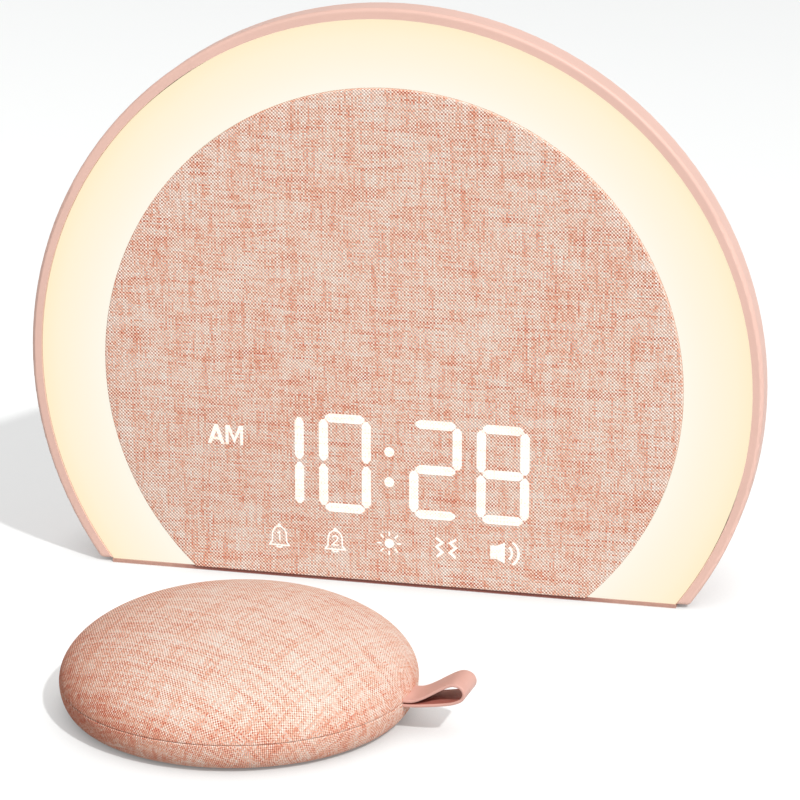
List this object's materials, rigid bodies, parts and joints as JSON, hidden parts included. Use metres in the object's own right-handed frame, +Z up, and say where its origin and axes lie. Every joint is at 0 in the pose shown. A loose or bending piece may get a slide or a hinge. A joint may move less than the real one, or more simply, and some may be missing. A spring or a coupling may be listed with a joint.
{
  "type": "alarm clock",
  "caption": "Round-topped wake-up light alarm clock in pink with a cloth front and lit time, beside a wireless vibrating puck with a strap loop.",
  "frame": {"origin": "on the table under the middle of the clock's width and depth", "axes": "+X to the right seen from the front, +Z up, the front faces -Y"},
  "size_m": [0.2, 0.1855, 0.1583],
  "materials": {
    "rim_pink": "fine satin",
    "light_cream": "milky, lit from behind",
    "cloth_pink": "fine woven, coral streaks",
    "foot_pink": "soft",
    "strap_pink": "smooth",
    "inner_white": "satin",
    "key_pink": "satin",
    "board_green": "solder mask",
    "chip_black": "satin",
    "lamp_white": "clear resin",
    "lens_white": "lit from behind",
    "shell_dark": "moulded",
    "steel": "plated",
    "magnet_black": "black",
    "cone_grey": "pulp",
    "roll_rubber": "soft",
    "cell_silver": "stainless",
    "pad_silicone": "matte silicone",
    "battery_foil": "pouch foil",
    "tungsten": "sintered",
    "clear_rod": "clear",
    "ribbon_white": "flat cable"
  },
  "bodies": {
    "clock": {"front_frame": "rim_pink", "light_diffuser": "light_cream", "light_tray_chassis": "inner_white", "ring_light_board": "inner_white", "ring_lamps": "lamp_white", "front_panel": "inner_white", "front_cloth": "cloth_pink", "display_reflector": "inner_white", "display_lenses": "lens_white", "display_board": "board_green", "display_lamps": "lamp_white", "speaker_basket": "steel", "speaker_magnet": "magnet_black", "speaker_surround": "roll_rubber", "rear_housing": "rim_pink", "housing_screws": "steel", "key_switches": "chip_black", "snooze_board": "board_green", "snooze_switch": "chip_black", "main_board": "board_green", "radio_module": "steel", "board_chips": "chip_black", "display_ribbon": "ribbon_white", "cell_cup": "chip_black", "coin_cell": "cell_silver", "power_socket": "steel", "foot_pad": "foot_pink"},
    "cone": {"speaker_cone": "cone_grey"},
    "alarm_1_key_body": {"alarm_1_key": "key_pink"},
    "alarm_2_key_body": {"alarm_2_key": "key_pink"},
    "time_key_body": {"time_key": "key_pink"},
    "minus_key_body": {"minus_key": "key_pink"},
    "plus_key_body": {"plus_key": "key_pink"},
    "light_key_body": {"light_key": "key_pink"},
    "snooze": {"snooze_bar": "key_pink"},
    "door": {"cell_door": "key_pink"},
    "puck": {"puck_top_cloth": "cloth_pink", "puck_lower_cloth": "cloth_pink", "puck_top_shell": "shell_dark", "puck_base_shell": "shell_dark", "puck_grip_pad": "pad_silicone", "puck_screws": "steel", "puck_switch": "chip_black", "puck_light_pipe": "clear_rod", "puck_board": "board_green", "puck_chips": "chip_black", "puck_battery": "battery_foil", "puck_socket": "steel", "vibration_motor": "steel", "motor_bracket": "steel", "motor_cradle": "roll_rubber", "strap_loop": "strap_pink", "strap_pin": "steel"},
    "puck_power": {"puck_button": "key_pink"},
    "rotor": {"motor_shaft": "steel", "swing_weight": "tungsten"}
  },
  "joints": [
    {"name": "cone_stroke", "type": "slide", "parent": "clock", "child": "cone", "axis": [0, -1, 0], "range_m": [-0.0008, 0.0008], "stiffness_N_per_m": 1200},
    {"name": "alarm_1_key_press", "type": "slide", "parent": "clock", "child": "alarm_1_key_body", "axis": [0, -1, 0], "range_m": [0, 0.0008], "stiffness_N_per_m": 600, "springref_m": -0.001},
    {"name": "alarm_2_key_press", "type": "slide", "parent": "clock", "child": "alarm_2_key_body", "axis": [0, -1, 0], "range_m": [0, 0.0008], "stiffness_N_per_m": 600, "springref_m": -0.001},
    {"name": "time_key_press", "type": "slide", "parent": "clock", "child": "time_key_body", "axis": [0, -1, 0], "range_m": [0, 0.0008], "stiffness_N_per_m": 600, "springref_m": -0.001},
    {"name": "minus_key_press", "type": "slide", "parent": "clock", "child": "minus_key_body", "axis": [0, -1, 0], "range_m": [0, 0.0008], "stiffness_N_per_m": 600, "springref_m": -0.001},
    {"name": "plus_key_press", "type": "slide", "parent": "clock", "child": "plus_key_body", "axis": [0, -1, 0], "range_m": [0, 0.0008], "stiffness_N_per_m": 600, "springref_m": -0.001},
    {"name": "light_key_press", "type": "slide", "parent": "clock", "child": "light_key_body", "axis": [0, -1, 0], "range_m": [0, 0.0008], "stiffness_N_per_m": 600, "springref_m": -0.001},
    {"name": "snooze_press", "type": "slide", "parent": "clock", "child": "snooze", "axis": [0, -0.3231, -0.9463], "range_m": [0, 0.0008], "stiffness_N_per_m": 1200, "springref_m": -0.001},
    {"name": "door_turn", "type": "hinge", "parent": "clock", "child": "door", "pos_m": [0, 0.023, 0.044], "axis": [0, -1, 0], "range_deg": [0, 60]},
    {"name": "puck_lift", "type": "slide", "parent": "clock", "child": "puck", "axis": [0, 0, 1], "range_m": [0, 0.15]},
    {"name": "puck_power_press", "type": "slide", "parent": "puck", "child": "puck_power", "axis": [0, 0, 1], "range_m": [0, 0.0005], "stiffness_N_per_m": 600, "springref_m": -0.001},
    {"name": "rotor_spin", "type": "hinge", "parent": "puck", "child": "rotor", "pos_m": [-0.0143, -0.13218, 0.0116], "axis": [0.9962, -0.0872, 0], "continuous": true}
  ]
}
